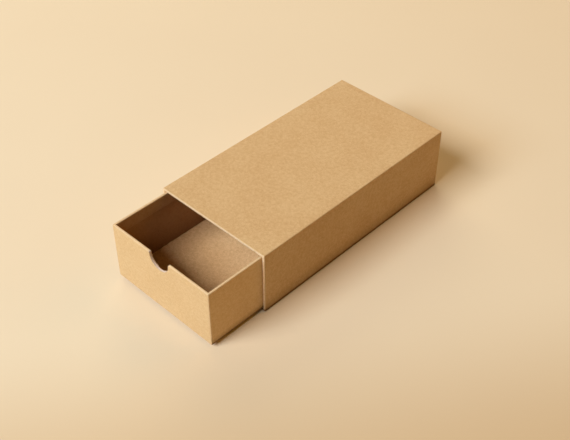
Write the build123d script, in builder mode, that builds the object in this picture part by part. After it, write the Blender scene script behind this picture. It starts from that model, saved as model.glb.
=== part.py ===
from build123d import *
import os

# Rigid drawer box for papers: a board sleeve with a closed back, and a tray that slides out of its front.
# Millimetres, +Z up, origin at the middle of the sleeve's underside, the tray comes out towards -Y.

# Sleeve, outside sizes over its paper
sleeve_width = 116.0
sleeve_length = 219.0
sleeve_height = 60.5

# Sheet thicknesses
sleeve_board = 2.0
tray_board = 1.5
wrap_paper = 0.25
lining_paper = 0.25
patch_paper = 0.25
stay_tape = 0.1

# How far the papers reach
mouth_turn_in = 15.0
back_turn_over = 14.0
rim_turn_in = 12.0
patch_margin = 2.0
stay_leg = 13.0
stay_end_gap = 4.0

# Running clearances of the tray in the sleeve
side_clearance = 0.3
top_clearance = 0.3
floor_clearance = 0.1
rear_clearance = 0.3

# Thumb notch in the tray's front wall
notch_width = 21.5
notch_side = 0.25
notch_shoulder = 1.5

# How far the tray is drawn out
tray_pull = 54.5

# A folded paper's outer edge turns on twice the paper's thickness
fold_radius = 2 * wrap_paper
stay_fold_radius = 2 * stay_tape

# Sleeve layers from outside to inside, each a span along X, Y and Z
wrap_x = (-sleeve_width / 2, sleeve_width / 2)
wrap_y = (-sleeve_length / 2, sleeve_length / 2 - patch_paper)
wrap_z = (patch_paper, sleeve_height)


def inset(span, depth):
    return (span[0] + depth, span[1] - depth)


board_x = inset(wrap_x, wrap_paper)
board_y = inset(wrap_y, wrap_paper)
board_z = inset(wrap_z, wrap_paper)
hollow_x = inset(board_x, sleeve_board)
hollow_y = (board_y[0], board_y[1] - sleeve_board)
hollow_z = inset(board_z, sleeve_board)
lined_x = inset(hollow_x, lining_paper)
lined_y = (wrap_y[0] + mouth_turn_in, hollow_y[1] - lining_paper)
lined_z = inset(hollow_z, lining_paper)
mouth_x = inset(hollow_x, wrap_paper)
mouth_y = (wrap_y[0], lined_y[0])
mouth_z = inset(hollow_z, wrap_paper)

# The tray runs on whichever paper inside the sleeve is thicker
inner_paper = max(wrap_paper, lining_paper)
run_x = inset(hollow_x, inner_paper)
run_z = inset(hollow_z, inner_paper)

# Tray layers from outside to inside
tray_length = lined_y[1] - rear_clearance - wrap_y[0]
tray_front = wrap_y[0] - tray_pull
tray_x = inset(run_x, side_clearance)
tray_y = (tray_front, tray_front + tray_length)
tray_z = (run_z[0] + floor_clearance, run_z[1] - top_clearance)
tray_board_x = inset(tray_x, wrap_paper)
tray_board_y = inset(tray_y, wrap_paper)
tray_board_z = inset(tray_z, wrap_paper)
wall_z = (tray_board_z[0] + tray_board, tray_board_z[1])
room_x = inset(tray_board_x, tray_board)
room_y = inset(tray_board_y, tray_board)
lined_room_x = inset(room_x, lining_paper)
lined_room_y = inset(room_y, lining_paper)
rim_x = inset(lined_room_x, wrap_paper)
rim_y = inset(lined_room_y, wrap_paper)
rim_thickness = rim_y[0] - tray_y[0]


# Adds or cuts a straight-sided sheet or block, given its span along each axis
def slab(x_span, y_span, z_span, mode=Mode.ADD):
    with BuildSketch(Plane.XY.offset(z_span[0])) as outline:
        with Locations((sum(x_span) / 2, sum(y_span) / 2)):
            Rectangle(x_span[1] - x_span[0], y_span[1] - y_span[0])
    extrude(outline.sketch, amount=z_span[1] - z_span[0], mode=mode)


# Sleeve boards: the base and top run full width, the walls stand between them, the back sits inside
with BuildPart() as sleeve_base_board:
    slab(board_x, board_y, (board_z[0], hollow_z[0]))

with BuildPart() as sleeve_top_board:
    slab(board_x, board_y, (hollow_z[1], board_z[1]))

with BuildPart() as sleeve_left_board:
    slab((board_x[0], hollow_x[0]), board_y, hollow_z)

with BuildPart() as sleeve_right_board:
    slab((hollow_x[1], board_x[1]), board_y, hollow_z)

with BuildPart() as sleeve_back_board:
    slab(hollow_x, (hollow_y[1], board_y[1]), hollow_z)


# Section of a folded stay tape, laid on the outside of a square board corner
def stay_section(corner_x, corner_y):
    Polyline(
        (corner_x + stay_tape, corner_y + stay_tape),
        (corner_x - stay_leg, corner_y + stay_tape),
        (corner_x - stay_leg, corner_y),
        (corner_x, corner_y),
        (corner_x, corner_y - stay_leg),
        (corner_x + stay_tape, corner_y - stay_leg),
        close=True,
    )


# Stay tape over the sleeve's four long board joints
stay_y = inset(board_y, stay_end_gap)
with BuildPart() as sleeve_corner_stays:
    with BuildSketch(Plane.XZ.offset(-stay_y[0])):
        with BuildLine():
            stay_section(board_x[1], board_z[1])
        make_face()
    extrude(amount=-(stay_y[1] - stay_y[0]))
    stay_fold = sleeve_corner_stays.edges().filter_by(Axis.Y).sort_by(Axis((0, 0, 0), (1, 0, 1)))[-1]
    fillet(stay_fold, radius=stay_fold_radius)
    mirror(about=Plane.YZ)
    mirror(about=Plane.XY.offset(sum(board_z) / 2))

# Outer kraft sheet of the sleeve, turned in at the mouth and turned over round the back
with BuildPart() as sleeve_wrap:
    slab(wrap_x, wrap_y, wrap_z)
    fillet(sleeve_wrap.edges(), radius=fold_radius)
    slab(board_x, board_y, board_z, mode=Mode.SUBTRACT)
    slab(hollow_x, (board_y[0], mouth_y[1]), hollow_z)
    slab(mouth_x, mouth_y, mouth_z, mode=Mode.SUBTRACT)
    slab(inset(board_x, back_turn_over), (board_y[1], wrap_y[1]), inset(board_z, back_turn_over),
         mode=Mode.SUBTRACT)
    mouth_edges = sleeve_wrap.faces().sort_by(Axis.Y)[0].inner_wires()[0].edges()
    fillet(mouth_edges, radius=fold_radius)
    add(sleeve_corner_stays.part, mode=Mode.SUBTRACT)

# Kraft patch over the back, pressed down onto the board inside the turned-over edges
with BuildPart() as sleeve_back_paper:
    slab(inset(wrap_x, patch_margin), (wrap_y[1], wrap_y[1] + patch_paper), inset(wrap_z, patch_margin))
    slab(inset(board_x, back_turn_over), (board_y[1], wrap_y[1]), inset(board_z, back_turn_over))

# Kraft patch over the underside, on which the box stands
with BuildPart() as sleeve_base_paper:
    slab(inset(wrap_x, patch_margin), inset(wrap_y, patch_margin), (0, patch_paper))

# Kraft lining of the sleeve: a tube inside the walls, and a sheet on the back
with BuildPart() as sleeve_tube_lining:
    slab(hollow_x, (lined_y[0], hollow_y[1]), hollow_z)
    slab(lined_x, (lined_y[0], hollow_y[1]), lined_z, mode=Mode.SUBTRACT)

with BuildPart() as sleeve_back_lining:
    slab(lined_x, (lined_y[1], hollow_y[1]), lined_z)

# Thumb notch: a round bottom, short straight sides and rounded shoulders at the rim
notch_radius = notch_width / 2
shoulder_x = notch_radius + notch_shoulder
shoulder_z = tray_z[1] - notch_shoulder
notch_centre_z = shoulder_z - notch_side
with BuildSketch(Plane.XZ.offset(-tray_y[0])) as notch:
    with BuildLine():
        Line((0, tray_z[1] + notch_shoulder), (shoulder_x, tray_z[1] + notch_shoulder))
        Line((shoulder_x, tray_z[1] + notch_shoulder), (shoulder_x, tray_z[1]))
        CenterArc((shoulder_x, shoulder_z), notch_shoulder, 90, 90)
        Line((notch_radius, shoulder_z), (notch_radius, notch_centre_z))
        CenterArc((0, notch_centre_z), notch_radius, 0, -90)
        mirror(about=Plane.YZ)
    make_face()


# Cuts the notch through whatever stands in the tray's front wall
def cut_notch():
    extrude(notch.sketch, amount=2 * rim_thickness, both=True, mode=Mode.SUBTRACT)


# Tray boards: the walls stand on the base, the side walls fit between front and back
with BuildPart() as tray_base_board:
    slab(tray_board_x, tray_board_y, (tray_board_z[0], wall_z[0]))

with BuildPart() as tray_front_board:
    slab(tray_board_x, (tray_board_y[0], room_y[0]), wall_z)
    cut_notch()

with BuildPart() as tray_back_board:
    slab(tray_board_x, (room_y[1], tray_board_y[1]), wall_z)

with BuildPart() as tray_left_board:
    slab((tray_board_x[0], room_x[0]), room_y, wall_z)

with BuildPart() as tray_right_board:
    slab((room_x[1], tray_board_x[1]), room_y, wall_z)

# Stay tape on the tray's four upright corners
tray_stay_z = inset(tray_board_z, stay_end_gap)
with BuildPart() as tray_corner_stays:
    with BuildSketch(Plane.XY.offset(tray_stay_z[0])):
        with BuildLine():
            stay_section(tray_board_x[1], tray_board_y[1])
        make_face()
    extrude(amount=tray_stay_z[1] - tray_stay_z[0])
    tray_stay_fold = tray_corner_stays.edges().filter_by(Axis.Z).sort_by(Axis((0, 0, 0), (1, 1, 0)))[-1]
    fillet(tray_stay_fold, radius=stay_fold_radius)
    mirror(about=Plane.YZ)
    mirror(about=Plane.XZ.offset(-sum(tray_board_y) / 2))

# Outer kraft sheet of the tray, folded over the rim and turned in over the lining
with BuildPart() as tray_wrap:
    slab(tray_x, tray_y, tray_z)
    fillet(tray_wrap.edges(), radius=fold_radius)
    slab(tray_board_x, tray_board_y, tray_board_z, mode=Mode.SUBTRACT)
    slab(lined_room_x, lined_room_y, (tray_z[1] - rim_turn_in, tray_board_z[1]))
    slab(rim_x, rim_y, (tray_z[1] - rim_turn_in, tray_z[1]), mode=Mode.SUBTRACT)
    rim_edges = tray_wrap.faces().sort_by(Axis.Z)[-1].inner_wires()[0].edges()
    fillet(rim_edges, radius=fold_radius)
    add(tray_corner_stays.part, mode=Mode.SUBTRACT)
    cut_notch()

# Kraft lining of the tray: a strip round the walls, and a sheet on the floor
with BuildPart() as tray_wall_lining:
    slab(room_x, room_y, wall_z)
    slab(lined_room_x, lined_room_y, wall_z, mode=Mode.SUBTRACT)
    cut_notch()

with BuildPart() as tray_floor_lining:
    slab(lined_room_x, lined_room_y, (wall_z[0], wall_z[0] + lining_paper))

pieces = {
    "sleeve_base_board": sleeve_base_board,
    "sleeve_top_board": sleeve_top_board,
    "sleeve_left_board": sleeve_left_board,
    "sleeve_right_board": sleeve_right_board,
    "sleeve_back_board": sleeve_back_board,
    "sleeve_corner_stays": sleeve_corner_stays,
    "sleeve_wrap": sleeve_wrap,
    "sleeve_back_paper": sleeve_back_paper,
    "sleeve_base_paper": sleeve_base_paper,
    "sleeve_tube_lining": sleeve_tube_lining,
    "sleeve_back_lining": sleeve_back_lining,
    "tray_base_board": tray_base_board,
    "tray_front_board": tray_front_board,
    "tray_back_board": tray_back_board,
    "tray_left_board": tray_left_board,
    "tray_right_board": tray_right_board,
    "tray_corner_stays": tray_corner_stays,
    "tray_wrap": tray_wrap,
    "tray_wall_lining": tray_wall_lining,
    "tray_floor_lining": tray_floor_lining,
}

os.makedirs("parts", exist_ok=True)
for name, piece in pieces.items():
    piece.part.label = name
    export_step(piece.part, f"parts/{name}.step")
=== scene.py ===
import bmesh
import bpy
import math
from mathutils import Color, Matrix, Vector, noise


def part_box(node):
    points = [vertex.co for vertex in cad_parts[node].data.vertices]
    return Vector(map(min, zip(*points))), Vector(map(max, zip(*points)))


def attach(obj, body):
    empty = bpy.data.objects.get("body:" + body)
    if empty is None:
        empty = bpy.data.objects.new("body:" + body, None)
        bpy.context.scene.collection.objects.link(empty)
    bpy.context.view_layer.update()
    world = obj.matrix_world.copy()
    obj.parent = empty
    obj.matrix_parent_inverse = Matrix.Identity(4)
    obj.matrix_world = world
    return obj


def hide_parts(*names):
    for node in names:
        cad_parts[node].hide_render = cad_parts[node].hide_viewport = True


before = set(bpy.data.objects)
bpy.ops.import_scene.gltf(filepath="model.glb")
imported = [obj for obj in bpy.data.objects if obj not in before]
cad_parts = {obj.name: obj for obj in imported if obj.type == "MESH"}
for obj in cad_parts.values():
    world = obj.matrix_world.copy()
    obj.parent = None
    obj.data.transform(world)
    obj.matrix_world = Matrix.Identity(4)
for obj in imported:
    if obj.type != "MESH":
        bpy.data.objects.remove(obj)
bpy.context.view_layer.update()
mm = 0.001
axisX, axisY, axisZ = Vector((1, 0, 0)), Vector((0, 1, 0)), Vector((0, 0, 1))
quarterTurn = math.pi / 2
samePlace = 1e-6  # metres within which points count as one
print("frame loaded:", len(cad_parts), "nodes")


# Shader maths

class Signal:
    def __init__(self, bench, socket):
        self.bench = bench
        self.socket = socket

    def __add__(self, other):
        return self.bench.maths("ADD", self, other)

    def __radd__(self, other):
        return self.bench.maths("ADD", other, self)

    def __sub__(self, other):
        return self.bench.maths("SUBTRACT", self, other)

    def __rsub__(self, other):
        return self.bench.maths("SUBTRACT", other, self)

    def __mul__(self, other):
        return self.bench.maths("MULTIPLY", self, other)

    def __rmul__(self, other):
        return self.bench.maths("MULTIPLY", other, self)

    def __truediv__(self, other):
        return self.bench.maths("DIVIDE", self, other)

    def __abs__(self):
        return self.bench.maths("ABSOLUTE", self)

    def least(self, other):
        return self.bench.maths("MINIMUM", self, other)

    def most(self, other):
        return self.bench.maths("MAXIMUM", self, other)

    def fraction(self):
        return self.bench.maths("FRACT", self)

    def ridge(self):  # 1 at a half, falling to 0 at 0 and at 1
        return 1 - abs(self - 0.5) * 2

    def ease(self, start, end):  # 0 before start, 1 after end, smooth between them
        return self.bench.take("ShaderNodeMapRange", 0, {"interpolation_type": "SMOOTHSTEP"},
                               {"Value": self, "From Min": start, "From Max": end})


class NodeBench:
    def __init__(self, tree):
        self.nodes, self.links = tree.nodes, tree.links
        self.nodes.clear()

    def node(self, kind, settings=None, sockets=None):
        made = self.nodes.new(kind)
        for name, value in (settings or {}).items():
            setattr(made, name, value)
        for name, value in (sockets or {}).items():
            self.feed(made.inputs[name], value)
        return made

    def feed(self, socket, value):
        if isinstance(value, Signal):
            self.links.new(value.socket, socket)
        else:
            socket.default_value = value

    def take(self, kind, output, settings=None, sockets=None):
        return Signal(self, self.node(kind, settings, sockets).outputs[output])

    def maths(self, operation, *terms):
        return self.take("ShaderNodeMath", 0, {"operation": operation}, dict(enumerate(terms)))


class Finish(NodeBench):
    def __init__(self, name, roughness, specular):
        self.material = bpy.data.materials.new(name)
        self.material.use_nodes = True
        super().__init__(self.material.node_tree)
        self.shader = self.node("ShaderNodeBsdfPrincipled", {},
                                {"Roughness": roughness, "Specular IOR Level": specular})
        self.surface = Signal(self, self.shader.outputs[0])
        self.output = self.node("ShaderNodeOutputMaterial", {}, {"Surface": self.surface})
        self.place = self.take("ShaderNodeTexCoord", "Object")
        self.inMillimetres = self.laid((mm, mm, mm))

    def laid(self, size, turn=(0, 0, 0), shift=(0, 0, 0)):  # steps of that size along turned axes
        return self.take("ShaderNodeMapping", 0, {"vector_type": "TEXTURE"},
                         {"Vector": self.place, "Scale": size, "Rotation": turn, "Location": shift})

    def axes(self):  # x, y and z in millimetres
        parts = self.node("ShaderNodeSeparateXYZ", {}, {0: self.inMillimetres})
        return [Signal(self, output) for output in parts.outputs]

    def grain(self, size, detail=2.0, vector=None):  # noise with features of that size
        return self.take("ShaderNodeTexNoise", 0, {},
                         {"Vector": vector or self.inMillimetres, "Scale": 1 / size, "Detail": detail})

    def blend(self, share, first, second, mode="MIX"):
        return self.take("ShaderNodeMix", 2, {"data_type": "RGBA", "blend_type": mode},
                         {0: share, 6: first, 7: second})

    def bump(self, height, depth):
        return self.take("ShaderNodeBump", 0, {}, {"Height": height, "Distance": depth})

    def paint(self, sockets):
        for name, value in sockets.items():
            self.feed(self.shader.inputs[name], value)


def tint(red, green, blue):  # a colour as a screen shows it, 0 to 255
    return (*Color((red / 255, green / 255, blue / 255)).from_srgb_to_scene_linear(), 1.0)


def boxInMillimetres(node):
    return [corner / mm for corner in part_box(node)]


# Kraft paper: uneven pulp, fine mottle, fibres lying every way, a few dark flecks
# Sizes are in millimetres and turns in degrees, and the tooth is the bump's depth in metres

kraft = {
    "pale": tint(222, 186, 137),
    "deep": tint(201, 156, 104),
    "darkFibre": tint(177, 132, 83),
    "paleFibre": tint(235, 203, 161),
    "fleck": tint(150, 106, 62),
    "worn": tint(242, 212, 176),
    # painted shade: this dark tone is multiplied in wherever shade is painted on the papers
    "paintedShade": (0.22, 0.15, 0.08, 1.0),
    "roughness": 0.9,
    "roughnessSpread": 0.12,
    "specular": 0.2,
    "cloudSize": 34.0,
    "cloudWeight": 0.2,
    "mottleSize": 2.6,
    "mottleWeight": 0.4,
    "speckleSize": 1.1,
    "speckleWeight": 0.4,
    "speckleRelief": 0.8,
    "densityRange": (0.34, 0.66),
    "pulpSize": 0.42,
    "pulpRange": (0.5, 0.8),
    "pulpShare": 0.2,
    "pulpRelief": 1.2,
    "fibreLength": 2.4,
    "fibreWidth": 0.22,
    "fibreSpread": 300.0,
    "fibreRange": (0.86, 1.0),
    "fibreShare": 0.3,
    "darkTurns": ((0, 0, 20), (0, 70, 60), (0, 20, 115)),
    "darkStart": 0,
    "darkRelief": 0.5,
    "paleTurns": ((0, 0, 85), (0, 65, 10), (0, 15, 150)),
    "paleStart": 5,
    "paleRelief": 0.8,
    "fleckSpacing": 5.5,
    "fleckRange": (0.02, 0.06),
    "fleckLot": (0.7, 0.75),
    "fleckShare": 0.5,
    "tooth": 0.04 * mm,
}


def fibres(finish, look, turns, start):
    size = (look["fibreLength"] * mm, look["fibreWidth"] * mm, look["fibreWidth"] * mm)
    heap = None
    for number, turn in enumerate(turns, start):
        shift = (number * look["fibreSpread"] * mm, 0, 0)
        along = finish.laid(size, tuple(math.radians(angle) for angle in turn), shift)
        strand = finish.grain(1.0, 1.0, along).ridge().ease(*look["fibreRange"])
        heap = strand if heap is None else heap.most(strand)
    return heap


def flecks(finish, look):  # a spot in a few of the cells
    cells = finish.node("ShaderNodeTexVoronoi", {},
                        {"Vector": finish.inMillimetres, "Scale": 1 / look["fleckSpacing"]})
    lot = finish.take("ShaderNodeSeparateColor", 0, {}, {0: Signal(finish, cells.outputs["Color"])})
    spot = 1 - Signal(finish, cells.outputs["Distance"]).ease(*look["fleckRange"])
    return spot * lot.ease(*look["fleckLot"])


def paperFinish(name, look, wearAndShade=None):
    finish = Finish(name, look["roughness"], look["specular"])
    cloud = finish.grain(look["cloudSize"])
    mottle = finish.grain(look["mottleSize"])
    speckle = finish.grain(look["speckleSize"])
    pulp = finish.grain(look["pulpSize"])
    thick = pulp.ease(*look["pulpRange"])
    thin = (1 - pulp).ease(*look["pulpRange"])
    dark = fibres(finish, look, look["darkTurns"], look["darkStart"])
    pale = fibres(finish, look, look["paleTurns"], look["paleStart"])

    density = cloud * look["cloudWeight"] + mottle * look["mottleWeight"] + speckle * look["speckleWeight"]
    colour = finish.blend(density.ease(*look["densityRange"]), look["pale"], look["deep"])
    colour = finish.blend(dark * look["fibreShare"] + thick * look["pulpShare"], colour, look["darkFibre"])
    colour = finish.blend(pale * look["fibreShare"] + thin * look["pulpShare"], colour, look["paleFibre"])
    colour = finish.blend(flecks(finish, look) * look["fleckShare"], colour, look["fleck"])
    if wearAndShade:
        colour = wearAndShade(finish, look, colour, mottle)
    height = dark * look["darkRelief"] + pale * look["paleRelief"]
    height = height + pulp * look["pulpRelief"] + speckle * look["speckleRelief"]
    finish.paint({"Base Color": colour, "Normal": finish.bump(height, look["tooth"]),
                  "Roughness": look["roughness"] + (mottle - 0.5) * look["roughnessSpread"]})
    return finish.material


def foldDistance(finish, low, high):  # from a point on a box's face to the nearest fold
    first, second, third = ((value - lowest).least(highest - value)
                            for value, lowest, highest in zip(finish.axes(), low, high))
    return first.least(second).most(first.most(second).least(third))  # the middle one of the three


# Paler folds and lip on the sleeve, and painted shade that darkens its foot towards the bottom edge

sleeveWearAndShade = {
    "foldWidth": 0.8,
    "foldShare": 0.14,
    "lipRange": (0.2, 0.5),
    "lipShare": 0.62,
    "patchy": (0.2, 0.6),
    # painted shade at the foot, darker towards the bottom edge and strongest in the lowest millimetres
    "footHeight": 13.0,
    "footShare": 0.34,
    "seatRange": (0.6, 4.2),
    "seatShare": 0.7,
}


def sleeveWornAndShaded(finish, look, colour, mottle):
    low, high = boxInMillimetres("sleeve_wrap")
    y, z = finish.axes()[1:]
    rubbed = 1 - foldDistance(finish, low, high).ease(0.0, sleeveWearAndShade["foldWidth"])
    lip = 1 - (y - low.y).ease(*sleeveWearAndShade["lipRange"])
    bare = (rubbed * sleeveWearAndShade["foldShare"]).most(lip * sleeveWearAndShade["lipShare"])
    # painted shade: darker towards the bottom edge, standing in for the shade where the sleeve stands on
    # the floor, with a painted contact shadow in the lowest millimetres
    footShade = (1 - z / sleeveWearAndShade["footHeight"]).most(0.0) * sleeveWearAndShade["footShare"]
    footShade = footShade + (1 - z.ease(*sleeveWearAndShade["seatRange"])) * sleeveWearAndShade["seatShare"]
    colour = finish.blend(bare * mottle.ease(*sleeveWearAndShade["patchy"]), colour, look["worn"])
    return finish.blend(footShade, colour, look["paintedShade"], "MULTIPLY")


# Paler folds and rim on the tray, painted light that brightens its side walls, painted shade low down on
# those sides, and painted shade that darkens the inside below the rim

trayPaper = dict(kraft, pale=tint(223, 190, 142), deep=tint(207, 167, 117),
                 darkFibre=tint(184, 140, 91), paleFibre=tint(232, 199, 156))

trayWearLightAndShade = {
    "foldWidth": 0.8,
    "foldShare": 0.12,
    "rimRange": (0.2, 0.6),
    "rimShare": 0.45,
    "patchy": (0.2, 0.6),
    "sideRange": (-0.4, -0.2),
    # painted light on the side walls, painted shade low down on them, and painted shade on the inside
    # below the rim
    "paintedSideLight": (1.15, 1.14, 1.13, 1.0),
    "runHeight": 7.0,
    "runShare": 0.5,
    "hemRange": (0.4, 2.6),
    "hemShare": 0.5,
    "insideRange": (-0.3, 0.0),
    "belowRim": (0.3, 0.8),
    "inside": (0.80, 0.71, 0.75, 1.0),
}


def insideDistance(finish, low, high):  # how far a point lies inside a box's four walls
    x, y = finish.axes()[:2]
    return (x - low.x).least(high.x - x).least(y - low.y).least(high.y - y)


def trayWornLitAndShaded(finish, look, colour, mottle):
    low, high = boxInMillimetres("tray_wrap")
    x, _, z = finish.axes()
    rubbed = 1 - foldDistance(finish, low, high).ease(0.0, trayWearLightAndShade["foldWidth"])
    rim = 1 - (high.z - z).ease(*trayWearLightAndShade["rimRange"])
    bare = (rubbed * trayWearLightAndShade["foldShare"]).most(rim * trayWearLightAndShade["rimShare"])
    # painted shade: the side walls darken towards their bottom edge, strongest in the lowest millimetres
    run = (1 - (z - low.z) / trayWearLightAndShade["runHeight"]).most(0.0) * trayWearLightAndShade["runShare"]
    run = run + (1 - (z - low.z).ease(*trayWearLightAndShade["hemRange"])) * trayWearLightAndShade["hemShare"]
    side = (abs(x) - high.x).ease(*trayWearLightAndShade["sideRange"])
    inward = insideDistance(finish, *boxInMillimetres("tray_floor_lining"))
    # painted shade: the wrap's inner faces below the rim are made darker
    within = inward.ease(*trayWearLightAndShade["insideRange"]) * (high.z - z).ease(*trayWearLightAndShade["belowRim"])
    colour = finish.blend(bare * mottle.ease(*trayWearLightAndShade["patchy"]), colour, look["worn"])
    # painted light: the side walls are made lighter than the rest of the tray
    colour = finish.blend(side, colour, trayWearLightAndShade["paintedSideLight"], "MULTIPLY")
    colour = finish.blend(side * run, colour, look["paintedShade"], "MULTIPLY")
    return finish.blend(within, colour, trayWearLightAndShade["inside"], "MULTIPLY")


# Painted shade at the foot of the tray's walls, in a line under the turned-in edge and round the edges of
# the floor

# painted light and shade: the floor lining is a paler lit copy and the wall lining a darker shaded copy of
# one lining paper, and the sleeve's tube lining takes the shaded copy too
bedLiningLit = dict(kraft, pale=tint(250, 208, 154), deep=tint(221, 172, 118),
                 darkFibre=tint(188, 138, 89), paleFibre=tint(251, 218, 175))
wallLiningShaded = dict(kraft, pale=tint(194, 150, 111), deep=tint(177, 132, 95),
                  darkFibre=tint(152, 111, 73), paleFibre=tint(209, 168, 124))
cutPaper = dict(kraft, pale=tint(236, 210, 182), deep=tint(226, 198, 168))

rimTurnIn = 12.0  # how far the tray's wrap comes down inside
liningShade = {
    "footHeight": 26.0,
    "footShare": 0.42,
    "seamWidth": 0.9,
    "edgeShadowShare": 0.4,
    "edgeWidth": 1.0,
    "creaseShadeShare": 0.45,
    "patchy": (0.1, 0.5),
}


def wallShaded(finish, look, colour, mottle):
    z = finish.axes()[2]
    floor, rim = boxInMillimetres("tray_floor_lining")[1].z, boxInMillimetres("tray_wrap")[1].z
    # painted shade: the wall lining darkens towards the floor, with a painted shadow line under the
    # turned-in edge
    footShade = (1 - (z - floor) / liningShade["footHeight"]).most(0.0) * liningShade["footShare"]
    seam = 1 - abs(z - (rim - rimTurnIn)).ease(0.0, liningShade["seamWidth"])
    return finish.blend(footShade.most(seam * liningShade["edgeShadowShare"]), colour, look["paintedShade"], "MULTIPLY")


def bedShaded(finish, look, colour, mottle):
    # painted shade: a dark band along the floor's edges where it meets the walls, broken up by mottle
    edge = insideDistance(finish, *boxInMillimetres("tray_floor_lining"))
    creaseShade = (1 - edge.ease(0.0, liningShade["edgeWidth"])) * liningShade["creaseShadeShare"]
    return finish.blend(creaseShade * mottle.ease(*liningShade["patchy"]), colour, look["paintedShade"], "MULTIPLY")


sleeveKraft = paperFinish("sleeveKraft", kraft, sleeveWornAndShaded)
trayKraft = paperFinish("trayKraft", trayPaper, trayWornLitAndShaded)
patchKraft = paperFinish("patchKraft", kraft)
bedKraftLitAndShaded = paperFinish("bedKraftLitAndShaded", bedLiningLit, bedShaded)
wallKraftShaded = paperFinish("wallKraftShaded", wallLiningShaded, wallShaded)
tubeKraftShaded = paperFinish("tubeKraftShaded", wallLiningShaded)
cutKraft = paperFinish("cutKraft", cutPaper)


# Greyboard: pale pressed pulp, with plies that show at a cut edge

greyboard = {
    "pulp": tint(226, 203, 188),
    "cloudy": tint(214, 190, 174),
    "fraySize": 1.6,
    "frayDepth": 0.12,
    "ply": tint(168, 138, 118),
    "plyThickness": 0.5,
    "plyRange": (0.72, 0.98),
    "plyShare": 0.55,
    "plyRelief": 0.6,
    "speck": tint(140, 118, 104),
    "speckSize": 0.5,
    "speckRange": (0.62, 0.75),
    "speckShare": 0.4,
    "detail": 3.0,
    "tooth": 0.05 * mm,
    "roughness": 0.92,
    "roughnessSpread": 0.06,
    "specular": 0.15,
}


def boardFinish(name, axis, start):  # plies lie across that axis, from start inwards
    finish = Finish(name, greyboard["roughness"], greyboard["specular"])
    fray = finish.grain(greyboard["fraySize"], greyboard["detail"])
    pulp = finish.grain(greyboard["speckSize"], greyboard["detail"])
    depth = finish.axes()[axis] - start / mm + (fray - 0.5) * greyboard["frayDepth"]
    layer = (depth / greyboard["plyThickness"]).fraction().ridge()
    seam = (1 - layer).ease(*greyboard["plyRange"]) * greyboard["plyShare"]
    speck = pulp.ease(*greyboard["speckRange"]) * greyboard["speckShare"]
    colour = finish.blend(fray, greyboard["pulp"], greyboard["cloudy"])
    colour = finish.blend(seam, colour, greyboard["ply"])
    colour = finish.blend(speck, colour, greyboard["speck"])
    finish.paint({"Base Color": colour,
                  "Normal": finish.bump(pulp + layer * greyboard["plyRelief"], greyboard["tooth"]),
                  "Roughness": greyboard["roughness"] - fray * greyboard["roughnessSpread"]})
    return finish.material


boardThroughX = boardFinish("boardThroughX", 0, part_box("tray_right_board")[1].x)
boardThroughY = boardFinish("boardThroughY", 1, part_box("tray_front_board")[0].y)
boardThroughZ = boardFinish("boardThroughZ", 2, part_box("sleeve_top_board")[1].z)


# Gummed stay tape: smoother paper with close ribs across it

stayTape = {
    "paper": tint(205, 172, 128),
    "rib": tint(182, 146, 101),
    "ribSpacing": 0.8,
    "ribShare": 0.4,
    "pulpSize": 0.9,
    "pulpDetail": 3.0,
    "pulpShare": 0.5,
    "tooth": 0.02 * mm,
    "roughness": 0.7,
    "roughnessSpread": 0.1,
    "specular": 0.3,
}


def tapeFinish():
    finish = Finish("stayTapePaper", stayTape["roughness"], stayTape["specular"])
    x, y, z = finish.axes()
    ribs = 1 - ((x + y + z) / stayTape["ribSpacing"]).fraction().ridge()
    pulp = finish.grain(stayTape["pulpSize"], stayTape["pulpDetail"])
    colour = finish.blend(ribs * stayTape["ribShare"] + pulp * stayTape["pulpShare"],
                          stayTape["paper"], stayTape["rib"])
    finish.paint({"Base Color": colour, "Normal": finish.bump(ribs + pulp, stayTape["tooth"]),
                  "Roughness": stayTape["roughness"] + pulp * stayTape["roughnessSpread"]})
    return finish.material


stayTapePaper = tapeFinish()
print("papers and boards mixed")


# Wrapped skins: a box of paper, drawn in over a wall's edge and turned down inside it

skin = {
    "paper": 0.22 * mm,
    "foldRadius": 0.7 * mm,
    "foldAngle": math.radians(60),
    "foldSegments": 3,
    "sharpAngle": math.radians(40),
    "spacing": 6.0 * mm,
    "holdCut": 1.25 * mm,
    "fewestCuts": 2,
    "cutReach": 1e-7,
    "cockleHeight": 0.045 * mm,
    "cockleWave": 17.0 * mm,
}


def boxMesh(low, high):
    mesh = bmesh.new()
    bmesh.ops.create_cube(mesh, size=1.0)
    bmesh.ops.scale(mesh, vec=high - low, verts=mesh.verts)
    bmesh.ops.translate(mesh, vec=(low + high) / 2, verts=mesh.verts)
    return mesh


def facing(mesh, way):
    return max(mesh.faces, key=lambda face: face.normal.dot(way))


def drawOut(mesh, faces, way):  # gives the moved faces
    drawn = bmesh.ops.extrude_face_region(mesh, geom=faces)["geom"]
    bmesh.ops.translate(mesh, vec=way, verts=[v for v in drawn if isinstance(v, bmesh.types.BMVert)])
    return [f for f in drawn if isinstance(f, bmesh.types.BMFace)]


def turnIn(mesh, way, lip, depth):
    opening = facing(mesh, way)
    bmesh.ops.inset_individual(mesh, faces=[opening], thickness=lip, use_even_offset=True)
    spare = drawOut(mesh, [opening], -way * depth)
    if opening.is_valid:
        spare.append(opening)
    bmesh.ops.delete(mesh, geom=spare, context="FACES")


def roundEdges(mesh, edges, radius, segments):
    bmesh.ops.bevel(mesh, geom=edges, offset=radius, offset_type="OFFSET", affect="EDGES",
                    segments=segments, profile=0.5, material=-1, clamp_overlap=True)


def roundFolds(mesh):
    mesh.normal_update()
    folds = [edge for edge in mesh.edges
             if edge.is_manifold and edge.is_convex and edge.calc_face_angle() > skin["foldAngle"]]
    roundEdges(mesh, folds, skin["foldRadius"], skin["foldSegments"])


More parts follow.
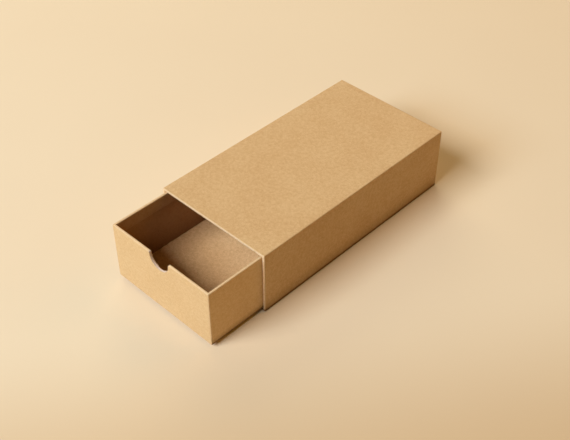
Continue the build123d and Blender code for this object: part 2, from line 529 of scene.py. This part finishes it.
def cut(mesh, axis, place):
    bmesh.ops.bisect_plane(mesh, geom=mesh.verts[:] + mesh.edges[:] + mesh.faces[:],
                           dist=skin["cutReach"], plane_co=axis * place, plane_no=axis)


def crossCuts(mesh, low, high, margin):
    for axis in (axisX, axisY, axisZ):
        start, end = low.dot(axis) + margin, high.dot(axis) - margin
        if end <= start:  # a sheet's own thickness
            continue
        count = max(skin["fewestCuts"], round((end - start) / skin["spacing"]))
        for step in range(count + 1):
            cut(mesh, axis, start + (end - start) * step / count)


ripple = {"seedSteps": (1.0, 0.7, 1.3), "fineness": 3.1, "fineShare": 0.5}


def unevenness(spot, wave, seed):  # about -1 to 1, the same on every run
    spot = spot / wave + Vector([seed * step for step in ripple["seedSteps"]])
    return noise.noise(spot) + ripple["fineShare"] * noise.noise(spot * ripple["fineness"])


def cockle(mesh, seed):
    mesh.normal_update()
    for vert in mesh.verts:
        vert.co += vert.normal * skin["cockleHeight"] * unevenness(vert.co, skin["cockleWave"], seed)


def linked(mesh, name, material):
    data = bpy.data.meshes.new(name)
    mesh.to_mesh(data)
    mesh.free()
    data.materials.append(material)
    made = bpy.data.objects.new(name, data)
    bpy.context.scene.collection.objects.link(made)
    return made


def finished(mesh, name, body, material, slot, *nodes):
    piece = linked(mesh, name, material)
    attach(piece, body)
    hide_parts(*nodes)
    return piece


def shadeSmooth(data):
    data.polygons.foreach_set("use_smooth", [True] * len(data.polygons))
    data.set_sharp_from_angle(angle=skin["sharpAngle"])


def thicken(piece):
    wall = piece.modifiers.new("paper", "SOLIDIFY")
    wall.thickness = skin["paper"]
    wall.offset = -1.0


def settle(piece):  # the modifiers' result becomes the piece's own mesh
    bpy.context.view_layer.update()
    shaped = piece.evaluated_get(bpy.context.evaluated_depsgraph_get())
    data = bpy.data.meshes.new_from_object(shaped)
    data.name = piece.name
    piece.modifiers.clear()
    piece.data = data
    shadeSmooth(data)


sleeveSkin = {"seed": 3.0, "backTurnOver": 14.0 * mm}


def makeSleeveSkin():
    low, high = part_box("sleeve_wrap")
    leftLow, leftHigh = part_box("sleeve_left_board")
    paper = leftLow.x - low.x
    mesh = boxMesh(low, high)
    turnIn(mesh, -axisY, leftHigh.x + paper - low.x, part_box("sleeve_tube_lining")[0].y - low.y)
    window = facing(mesh, axisY)
    bmesh.ops.inset_individual(mesh, faces=[window], thickness=sleeveSkin["backTurnOver"],
                               use_even_offset=True)
    bmesh.ops.delete(mesh, geom=[window], context="FACES")
    roundFolds(mesh)
    crossCuts(mesh, low, high, skin["holdCut"])
    cockle(mesh, sleeveSkin["seed"])
    piece = finished(mesh, "sleeveKraftSkin", "sleeve", sleeveKraft, "kraft_wrap", "sleeve_wrap")
    thicken(piece)
    settle(piece)


makeSleeveSkin()
print("sleeve skin wrapped")


# Tray skin, with the thumb notch cut through its front

traySkin = {
    "seed": 11.0,
    "lift": 0.16 * mm,
    "liftWave": 23.0 * mm,
    "liftMean": 0.6,
    "liftSpread": 0.8,
    "seamInset": 0.9 * mm,
    "seamWidth": 0.3 * mm,
    "seamDepth": 0.1 * mm,
    "flatness": 0.99,
    "notchWidth": 21.5 * mm,
    "notchSide": 0.25 * mm,
    "shoulder": 1.5 * mm,
    "arcSteps": 32,
    "shoulderSteps": 6,
}


def scoreSeams(mesh, low, high):  # where the end flaps stop just short of the upright corners
    for seam in (low.x + traySkin["seamInset"], high.x - traySkin["seamInset"]):
        for step in (-0.5, 0.0, 0.5):
            cut(mesh, axisX, seam + step * traySkin["seamWidth"])
        mesh.normal_update()
        for vert in mesh.verts:
            onSeam = abs(vert.co.x - seam) < samePlace and not vert.is_boundary
            if onSeam and abs(vert.normal.y) > traySkin["flatness"]:
                vert.co -= vert.normal * traySkin["seamDepth"]


def liftEdge(mesh):  # the turned-in edge stands off the lining here and there
    mesh.normal_update()
    for vert in [v for v in mesh.verts if v.is_boundary]:
        wave = unevenness(vert.co, traySkin["liftWave"], traySkin["seed"])
        rise = traySkin["liftMean"] + traySkin["liftSpread"] * wave
        vert.co += vert.normal * traySkin["lift"] * max(0.0, rise)


def extrudeVert(mesh, vert, way):
    moved = bmesh.ops.extrude_vert_indiv(mesh, verts=[vert])["verts"]
    bmesh.ops.translate(mesh, vec=way, verts=moved)
    return moved[0]


def highest(mesh):
    return max(mesh.verts, key=lambda vert: vert.co.z)


def notchCutter(rimHeight, start, depth):  # half of the outline, mirrored and drawn along the tray
    radius = traySkin["notchWidth"] / 2
    shoulder = traySkin["shoulder"]
    pivot = Vector((radius + shoulder, start, rimHeight - shoulder))
    centre = Vector((0, start, pivot.z - traySkin["notchSide"]))
    mesh = bmesh.new()
    bottom = mesh.verts.new(centre - axisZ * radius)
    bmesh.ops.spin(mesh, geom=[bottom], cent=centre, axis=-axisY, angle=quarterTurn,
                   steps=traySkin["arcSteps"])
    side = extrudeVert(mesh, highest(mesh), axisZ * traySkin["notchSide"])
    bmesh.ops.spin(mesh, geom=[side], cent=pivot, axis=axisY, angle=quarterTurn,
                   steps=traySkin["shoulderSteps"])
    above = extrudeVert(mesh, highest(mesh), axisZ * shoulder)
    extrudeVert(mesh, above, -axisX * above.co.x)
    bmesh.ops.mirror(mesh, geom=mesh.verts[:] + mesh.edges[:], axis="X", merge_dist=samePlace)
    outline = bmesh.ops.edgeloop_fill(mesh, edges=mesh.edges[:])["faces"]
    drawOut(mesh, outline, axisY * depth)
    bmesh.ops.recalc_face_normals(mesh, faces=mesh.faces[:])
    return linked(mesh, "notchCutter", cutKraft)


def cutNotch(piece, cutter):
    notch = piece.modifiers.new("notch", "BOOLEAN")
    notch.operation = "DIFFERENCE"
    notch.solver = "EXACT"
    notch.material_mode = "TRANSFER"
    notch.object = cutter


def makeTraySkin():
    low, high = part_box("tray_wrap")
    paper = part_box("tray_front_board")[0].y - low.y
    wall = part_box("tray_floor_lining")[0].y + paper - low.y
    mesh = boxMesh(low, high)
    turnIn(mesh, axisZ, wall, rimTurnIn * mm)
    roundFolds(mesh)
    crossCuts(mesh, low, high, skin["holdCut"])
    scoreSeams(mesh, low, high)
    cockle(mesh, traySkin["seed"])
    liftEdge(mesh)
    piece = finished(mesh, "trayKraftSkin", "tray", trayKraft, "kraft_wrap", "tray_wrap")
    thicken(piece)
    cutter = notchCutter(high.z, low.y - wall, 3 * wall)  # from a wall's thickness in front to one behind
    cutNotch(piece, cutter)
    settle(piece)
    bpy.data.objects.remove(cutter)


makeTraySkin()
print("tray skin wrapped")


# Patches over the sleeve's back and underside

patch = {
    "cornerRadius": 1.2 * mm,
    "cornerSegments": 4,
    "edgeRound": 0.07 * mm,
    "edgeSegments": 2,
    "straightness": 0.9,
    "holdCut": 2.5 * mm,
    "sink": 0.13 * mm,
    "sinkSlope": 0.9 * mm,
    "sinkSlack": 0.01 * mm,
    "seed": 21.0,
    "cockleShare": 0.5,
}


def makePatch(node, way):
    low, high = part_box(node)
    spare = way * (abs((high - low).dot(way)) - skin["paper"])  # only the outer sheet of the box is made
    if max(way) > 0:
        low += spare
    else:
        high += spare
    mesh = boxMesh(low, high)
    corners = [edge for edge in mesh.edges
               if abs((edge.verts[0].co - edge.verts[1].co).normalized().dot(way)) > patch["straightness"]]
    roundEdges(mesh, corners, patch["cornerRadius"], patch["cornerSegments"])
    roundEdges(mesh, facing(mesh, way).edges[:], patch["edgeRound"], patch["edgeSegments"])
    crossCuts(mesh, low, high, patch["holdCut"])
    return mesh, low, high


def sinkWindow(mesh, low, high, margin):  # the edges turned over below show through as a faint frame
    for axis in (axisX, axisZ):
        for place in (low.dot(axis) + margin, high.dot(axis) - margin):
            for step in (-0.5, 0.5):
                cut(mesh, axis, place + step * patch["sinkSlope"])
    reach = margin + patch["sinkSlope"] / 2 - patch["sinkSlack"]
    for vert in mesh.verts:
        acrossX = min(vert.co.x - low.x, high.x - vert.co.x)
        acrossZ = min(vert.co.z - low.z, high.z - vert.co.z)
        if min(acrossX, acrossZ) > reach:
            vert.co.y -= patch["sink"]


def makeBackPatch():
    mesh, low, high = makePatch("sleeve_back_paper", axisY)
    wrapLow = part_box("sleeve_wrap")[0]
    sinkWindow(mesh, low, high, sleeveSkin["backTurnOver"] - (low.x - wrapLow.x))
    for vert in mesh.verts:
        wave = unevenness(vert.co, skin["cockleWave"], patch["seed"]) - 1  # inwards only
        vert.co.y += patch["cockleShare"] * skin["cockleHeight"] * wave
    piece = finished(mesh, "sleeveBackPatch", "sleeve", patchKraft, "kraft_wrap", "sleeve_back_paper")
    shadeSmooth(piece.data)


def makeBasePatch():
    mesh = makePatch("sleeve_base_paper", -axisZ)[0]
    piece = finished(mesh, "sleeveBasePatch", "sleeve", patchKraft, "kraft_wrap", "sleeve_base_paper")
    shadeSmooth(piece.data)


makeBackPatch()
makeBasePatch()
print("patches laid")


# Papers and boards on the CAD nodes that stay in view

nodeFinish = {
    "sleeve_tube_lining": tubeKraftShaded,
    "sleeve_back_lining": tubeKraftShaded,
    "tray_wall_lining": wallKraftShaded,
    "tray_floor_lining": bedKraftLitAndShaded,
    "sleeve_corner_stays": stayTapePaper,
    "tray_corner_stays": stayTapePaper,
    "sleeve_base_board": boardThroughZ,
    "sleeve_top_board": boardThroughZ,
    "tray_base_board": boardThroughZ,
    "sleeve_left_board": boardThroughX,
    "sleeve_right_board": boardThroughX,
    "tray_left_board": boardThroughX,
    "tray_right_board": boardThroughX,
    "sleeve_back_board": boardThroughY,
    "tray_front_board": boardThroughY,
    "tray_back_board": boardThroughY,
}
for name, material in nodeFinish.items():
    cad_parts[name].data.materials.clear()
    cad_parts[name].data.materials.append(material)
print("nodes dressed")


# Floor, light and camera, in metres, with the floor's pattern in millimetres

ground = {
    "size": 6.0,
    "segments": 8,
    "drop": 0.02 * mm,
    "pale": tint(233, 213, 185),
    "cloud": tint(230, 209, 181),
    "cloudSize": 180.0,
    "roughness": 0.95,
    "specular": 0.1,
    # painted shade: the floor darkens along this direction, away from the lit side
    "shadeTowards": Vector((0.79, -0.61, 0.0)),
    "shadeRange": (110.0, 290.0),
    "shadedTone": (0.81, 0.715, 0.595, 1.0),
    "meltRange": (520.0, 1100.0),
}
sky = {"colour": (0.183, 0.153, 0.053, 1.0), "strength": 0.4, "backdrop": tint(236, 213, 181)}


def floorFinish():
    finish = Finish("paleFloor", ground["roughness"], ground["specular"])
    x, y = finish.axes()[:2]
    along = x * ground["shadeTowards"].x + y * ground["shadeTowards"].y
    colour = finish.blend(finish.grain(ground["cloudSize"]), ground["pale"], ground["cloud"])
    # painted shade: darker away from the lamps, standing in for their falloff across the floor
    colour = finish.blend(along.ease(*ground["shadeRange"]), colour, ground["shadedTone"], "MULTIPLY")
    finish.paint({"Base Color": colour})
    # Far off, the camera sees the backdrop's colour, so no edge shows
    away = finish.take("ShaderNodeVectorMath", "Value", {"operation": "LENGTH"}, {0: finish.inMillimetres})
    seen = finish.take("ShaderNodeLightPath", "Is Camera Ray")
    glow = finish.take("ShaderNodeEmission", 0, {}, {"Color": sky["backdrop"]})
    melt = finish.take("ShaderNodeMixShader", 0, {},
                       {0: away.ease(*ground["meltRange"]) * seen, 1: finish.surface, 2: glow})
    finish.feed(finish.output.inputs["Surface"], melt)
    return finish.material


def makeFloor():
    mesh = bmesh.new()
    bmesh.ops.create_grid(mesh, x_segments=ground["segments"], y_segments=ground["segments"],
                          size=ground["size"] / 2)
    bmesh.ops.translate(mesh, vec=-axisZ * ground["drop"], verts=mesh.verts)
    floor = linked(mesh, "floor", floorFinish())


lamps = {
    "softKey": {"towards": Vector((-0.14, -0.69, 0.71)), "distance": 4.0, "width": 2.4, "height": 1.25,
                "energy": 130.0, "colour": (1.0, 0.985, 0.935)},
    "lowFront": {"towards": Vector((-0.16, -0.84, 0.50)), "distance": 4.0, "width": 1.6, "height": 1.0,
                 "energy": 82.0, "colour": (0.60, 0.81, 1.0)},
    "farLeft": {"towards": Vector((-0.75, 0.45, 0.48)), "distance": 2.0, "width": 1.4, "height": 1.4,
                "energy": 14.8, "colour": (1.0, 0.935, 0.735)},
    "warmBack": {"towards": Vector((0.30, 0.75, 0.60)), "distance": 2.5, "width": 1.8, "height": 1.8,
                 "energy": 14.9, "colour": (1.0, 0.47, 0.02)},
}


def makeLamps():
    for name, lamp in lamps.items():
        data = bpy.data.lights.new(name, "AREA")
        data.shape = "RECTANGLE"
        data.size, data.size_y = lamp["width"], lamp["height"]
        data.energy = lamp["energy"]
        data.color = lamp["colour"]
        way = lamp["towards"].normalized()
        light = bpy.data.objects.new(name, data)
        light.location = way * lamp["distance"]
        light.rotation_euler = way.to_track_quat("Z", "Y").to_euler()
        bpy.context.scene.collection.objects.link(light)


def makeSky():  # a dim warm fill, and a pale backdrop for the camera alone
    world = bpy.data.worlds.new("warmFill")
    world.use_nodes = True
    bench = NodeBench(world.node_tree)
    fill = bench.take("ShaderNodeBackground", 0, {}, {"Color": sky["colour"], "Strength": sky["strength"]})
    backdrop = bench.take("ShaderNodeBackground", 0, {}, {"Color": sky["backdrop"]})
    seen = bench.take("ShaderNodeLightPath", "Is Camera Ray")
    either = bench.take("ShaderNodeMixShader", 0, {}, {0: seen, 1: fill, 2: backdrop})
    bench.node("ShaderNodeOutputWorld", {}, {"Surface": either})
    bpy.context.scene.world = world


view = {
    "azimuth": math.radians(44.04),
    "elevation": math.radians(41.71),
    "distance": 836.4 * mm,
    "target": Vector((1.99, -29.07, 11.18)) * mm,
    "lens": 61.711,
    "sensor": 36.0,
    "nearest": 0.01,
    "furthest": 20.0,
}


def makeCamera():
    turn, rise = view["azimuth"], view["elevation"]
    back = Vector((math.sin(turn) * math.cos(rise), -math.cos(turn) * math.cos(rise), math.sin(rise)))
    data = bpy.data.cameras.new("photoView")
    data.lens = view["lens"]
    data.sensor_width = view["sensor"]
    data.clip_start, data.clip_end = view["nearest"], view["furthest"]
    camera = bpy.data.objects.new("photoView", data)
    camera.location = view["target"] + back * view["distance"]
    camera.rotation_euler = back.to_track_quat("Z", "Y").to_euler()
    bpy.context.scene.collection.objects.link(camera)
    bpy.context.scene.camera = camera


makeFloor()
makeLamps()
makeSky()
makeCamera()
bpy.context.scene.view_settings.view_transform = "Standard"
print("floor, light and camera set")
